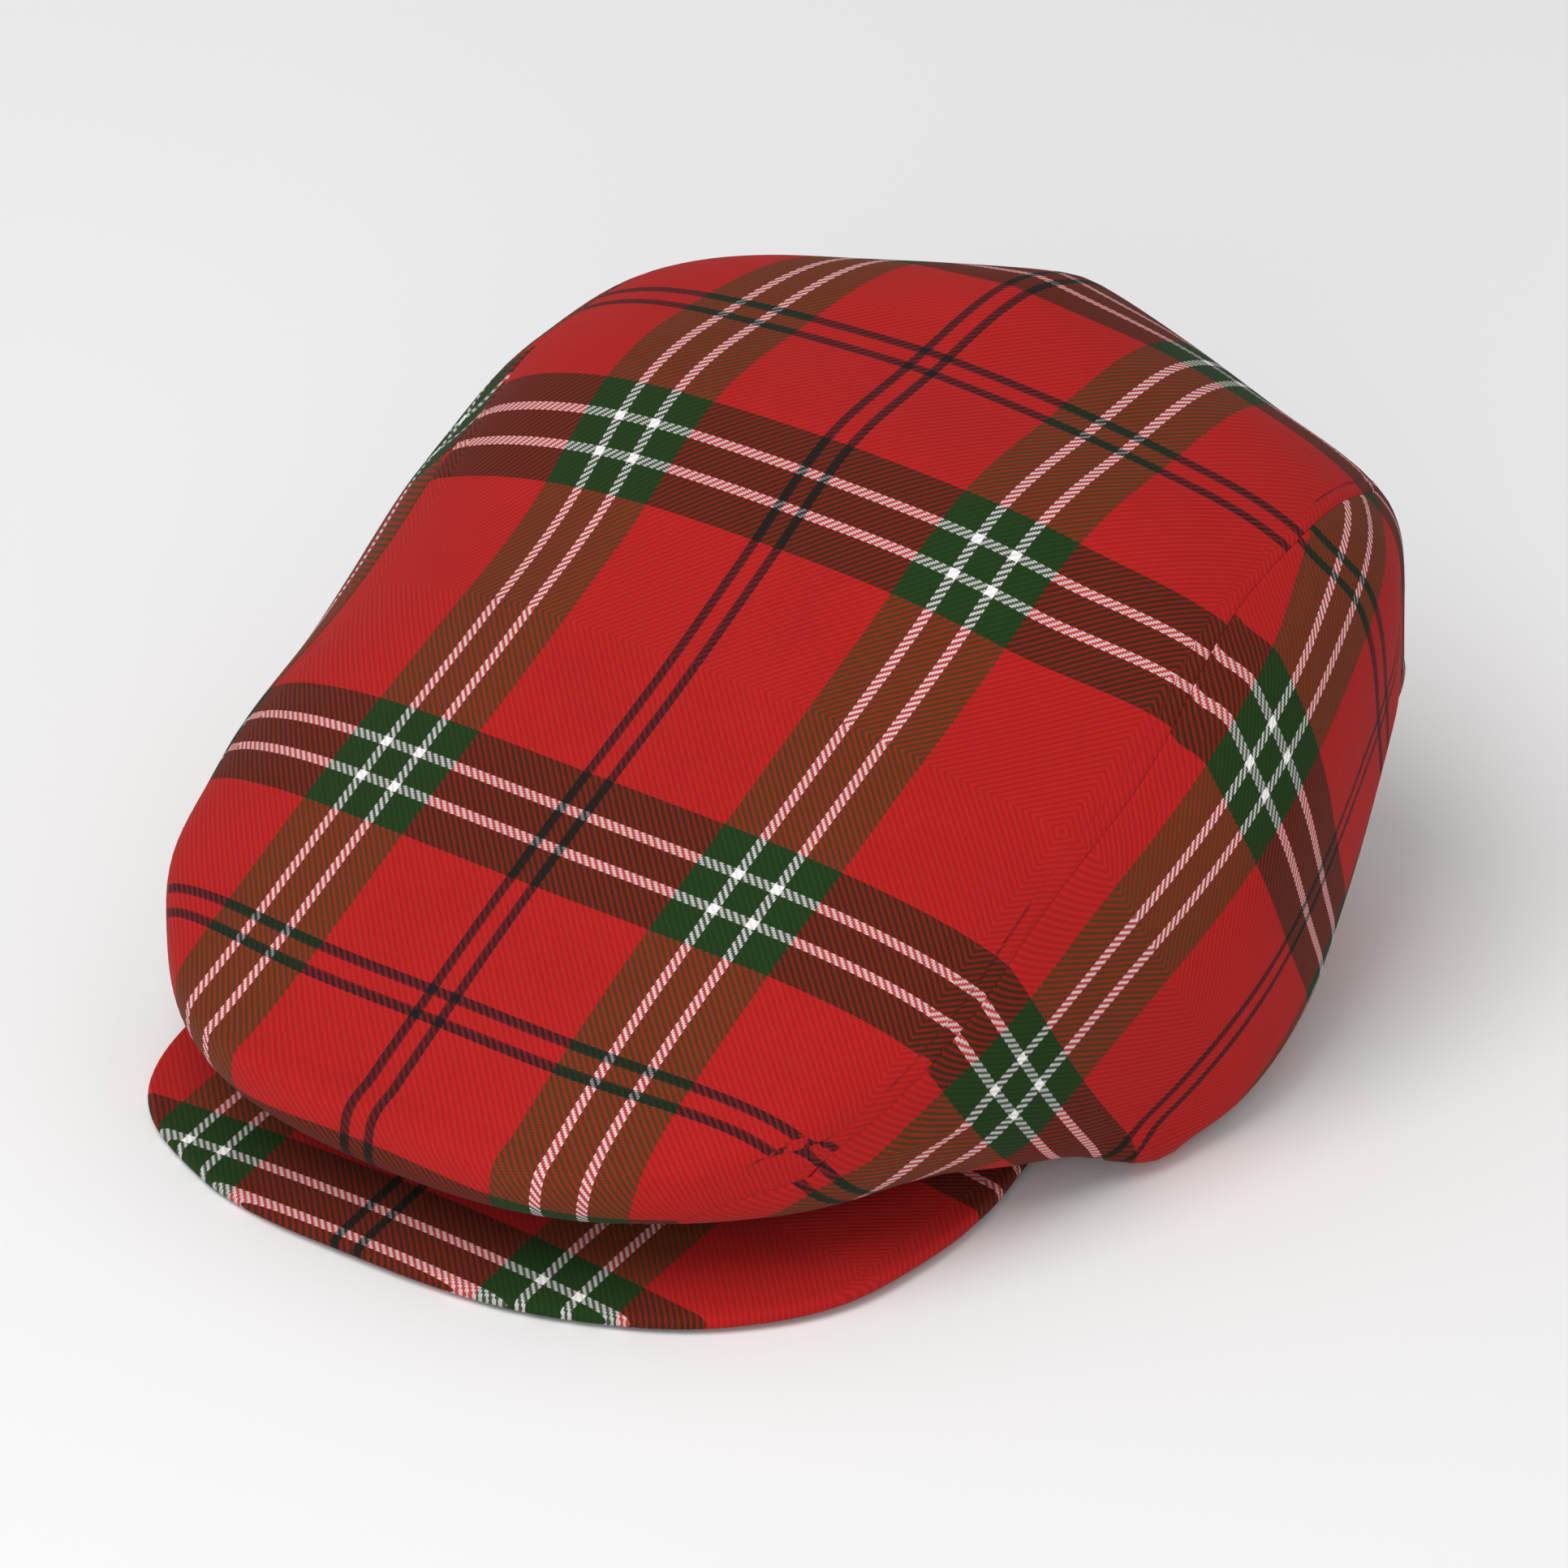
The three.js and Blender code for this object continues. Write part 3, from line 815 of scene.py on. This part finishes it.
def woven_colour(n, across, along, warp_up):
    """Colour of the yarn on top, with what shows of the one underneath."""
    warp_colour, warp_green, warp_white, warp_dark = yarn_at(n, across)
    weft_colour, weft_green, weft_white, weft_dark = yarn_at(n, along)

    # the yarn underneath shows through a little, and more through white
    over = n.mix(warp_up, weft_colour, warp_colour)
    under = n.mix(warp_up, warp_colour, weft_colour)
    white_over = n.blend(warp_up, weft_white, warp_white)
    white_under = n.blend(warp_up, warp_white, weft_white)
    leak = n.math("MULTIPLY_ADD", white_over, WHITE_LEAK, LEAK)
    leak = n.math("MULTIPLY", leak, n.math("MULTIPLY_ADD", white_under, -WHITE_HIDDEN, 1.0))
    colour = n.mix(leak, over, under)

    # dark lines darken what crosses them, red is darker where a green weft crosses it, and a green warp
    # tints it
    either_dark = n.math("MAXIMUM", warp_dark, weft_dark)
    colour = n.mix(n.math("MULTIPLY", either_dark, DARK_BLEED), colour, DARK)
    deep = green_over_red(n, weft_green, weft_white, warp_green)
    colour = n.mix(n.math("MULTIPLY", deep, WEFT_DIM), colour, WEFT_CROSS_DARK)
    tint = green_over_red(n, warp_green, warp_white, weft_green)
    return n.mix(n.math("MULTIPLY", tint, WARP_TINT), colour, GREEN)


def yarn_round(n, across, along, warp_up):
    """Roundness of the yarn on top."""
    warp_round = n.math("ABSOLUTE", n.math("SINE", n.math("MULTIPLY", across, math.pi)))
    weft_round = n.math("ABSOLUTE", n.math("SINE", n.math("MULTIPLY", along, math.pi)))
    return n.blend(warp_up, weft_round, warp_round)


def shaded(n, colour, relief, mottle):
    """Colour darkened in the hollows of the weave, and a little unevenly."""
    shade = n.math("MULTIPLY_ADD", relief, SHADE_BY_RELIEF, HOLLOW_SHADE)
    shade = n.math("MULTIPLY_ADD", n.math("SUBTRACT", mottle, 0.5), SHADE_BY_MOTTLE, shade)
    grey = n.tree.nodes.new("ShaderNodeCombineColor")
    for channel in grey.inputs:
        n.put(channel, shade)
    return n.mix(1.0, colour, grey.outputs[0], "MULTIPLY")


def check_cloth(name):
    """Twill cloth woven in the check, with its ribs, yarns, slight unevenness and nap."""
    n = Nodes(name)
    uv = n.tree.nodes.new("ShaderNodeUVMap")
    uv.uv_map = "check"
    split = n.tree.nodes.new("ShaderNodeSeparateXYZ")
    n.put(split.inputs[0], uv.outputs[0])
    across = n.math("MULTIPLY", split.outputs[0], YARNS)
    along = n.math("MULTIPLY", split.outputs[1], YARNS)
    warp_up, rib = twill(n, across, along)
    colour = woven_colour(n, across, along, warp_up)

    place_in = n.tree.nodes.new("ShaderNodeTexCoord").outputs["Object"]
    mottle = n.noise(place_in, MOTTLE_SCALE, 3.0)
    fuzz = n.noise(place_in, FUZZ_SCALE, 2.0)
    relief = n.math("MULTIPLY", rib, RIB_RELIEF)
    relief = n.math("MULTIPLY_ADD", yarn_round(n, across, along, warp_up), YARN_RELIEF, relief)
    relief = n.math("MULTIPLY_ADD", fuzz, FUZZ_RELIEF, relief)
    n.put(n.shader.inputs["Base Color"], shaded(n, colour, relief, mottle))

    bump = n.tree.nodes.new("ShaderNodeBump")
    bump.inputs["Strength"].default_value = 0.5
    bump.inputs["Distance"].default_value = BUMP_DEEP * MM
    n.put(bump.inputs["Height"], relief)
    n.put(n.shader.inputs["Normal"], bump.outputs[0])
    n.put(n.shader.inputs["Roughness"], n.math("MULTIPLY_ADD", mottle, 0.1, 0.86))
    n.shader.inputs["Specular IOR Level"].default_value = 0.1
    n.shader.inputs["Sheen Weight"].default_value = 0.03
    n.shader.inputs["Sheen Roughness"].default_value = 0.5
    return n.material


# ---------------------------------------------------------------- the cap

crown = top_panel()
left = side_panel(1, "side_cloth_left")
right = side_panel(-1, "side_cloth_right")
peak_cover = peak()
cloth = check_cloth("checked_twill")

PIECES = (
    (crown, "crown_top", "crown_cloth"),
    (left, "side_panel_left", "side_cloth"),
    (right, "side_panel_right", "side_cloth"),
    (peak_cover, "peak", "peak_cloth"),
)
for piece, node, slot in PIECES:
    piece.data.materials.append(cloth)
    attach(piece, "root")
    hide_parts(node)


# ---------------------------------------------------------------- floor, light and camera

CENTRE = (CAD_LOW + CAD_HIGH) / 2  # middle of the cap's box
FLOOR_SIZE = 6.0
FLOOR_BELOW = 0.0002  # how far the floor lies under the cap
FLOOR_TINTS = ((0.93, 0.93, 0.93), (0.95, 0.95, 0.95))
WORLD_LIGHT = 0.48

# azimuth: 0 is in front and 90 at +X; away and size in metres
LIGHT_COLUMNS = ("name", "azimuth", "elevation", "away", "size", "watts")
LIGHTS = (
    ("key", -10, 62, 2.4, 1.9, 31),
    ("fill", 28, 20, 2.2, 1.2, 11),
)

# the camera's place is rounded from the same fit as HALF_SETT
CAMERA_AZIMUTH = 36.45
CAMERA_ELEVATION = 30.45
CAMERA_DISTANCE = 2.17
CAMERA_AIM = (0.014, -0.0068, -0.0054)  # from the middle of the cap's box
CAMERA_LENS = 241


def floor():
    """Plain pale ground."""
    half = FLOOR_SIZE / 2
    corners = [(-half, -half, 0), (half, -half, 0), (half, half, 0), (-half, half, 0)]
    mesh = bpy.data.meshes.new("floor")
    mesh.from_pydata(corners, [], [(0, 1, 2, 3)])
    obj = bpy.data.objects.new("floor", mesh)
    bpy.context.collection.objects.link(obj)
    obj.location.z = CAD_LOW.z - FLOOR_BELOW
    n = Nodes("pale_floor")
    where = n.tree.nodes.new("ShaderNodeTexCoord").outputs["Object"]
    n.put(n.shader.inputs["Base Color"], n.mix(n.noise(where, 3.0), *FLOOR_TINTS))
    n.shader.inputs["Roughness"].default_value = 0.9
    obj.data.materials.append(n.material)


def look_at(obj, position, target):
    obj.location = position
    direction = target - position
    obj.rotation_mode = "QUATERNION"
    obj.rotation_quaternion = direction.to_track_quat("-Z", "Y")


def around(target, azimuth, elevation, distance):
    """Position at that azimuth, elevation and distance from target."""
    a = math.radians(azimuth)
    e = math.radians(elevation)
    direction = (math.sin(a) * math.cos(e), -math.cos(a) * math.cos(e), math.sin(e))
    return target + type(target)(direction) * distance


def lights():
    """A soft key light from above in front, a low fill, and an even white surround."""
    world = bpy.data.worlds.new("soft_studio")
    world.use_nodes = True
    world.node_tree.nodes["Background"].inputs["Color"].default_value = (1.0, 1.0, 1.0, 1.0)
    world.node_tree.nodes["Background"].inputs["Strength"].default_value = WORLD_LIGHT
    bpy.context.scene.world = world
    for row in LIGHTS:
        lamp = dict(zip(LIGHT_COLUMNS, row))
        light = bpy.data.lights.new(lamp["name"], "AREA")
        light.shape = "DISK"
        light.size = lamp["size"]
        light.energy = lamp["watts"]
        obj = bpy.data.objects.new(lamp["name"], light)
        bpy.context.collection.objects.link(obj)
        look_at(obj, around(CENTRE, lamp["azimuth"], lamp["elevation"], lamp["away"]), CENTRE)


def camera():
    """Long lens from the front and the wearer's left, a little above the cap."""
    data = bpy.data.cameras.new("camera")
    data.sensor_width = 36
    data.lens = CAMERA_LENS
    data.clip_end = 20
    obj = bpy.data.objects.new("camera", data)
    bpy.context.collection.objects.link(obj)
    aim = CENTRE + type(CENTRE)(CAMERA_AIM)
    look_at(obj, around(aim, CAMERA_AZIMUTH, CAMERA_ELEVATION, CAMERA_DISTANCE), aim)
    bpy.context.scene.camera = obj


floor()
lights()
camera()
bpy.context.scene.view_settings.view_transform = "Standard"
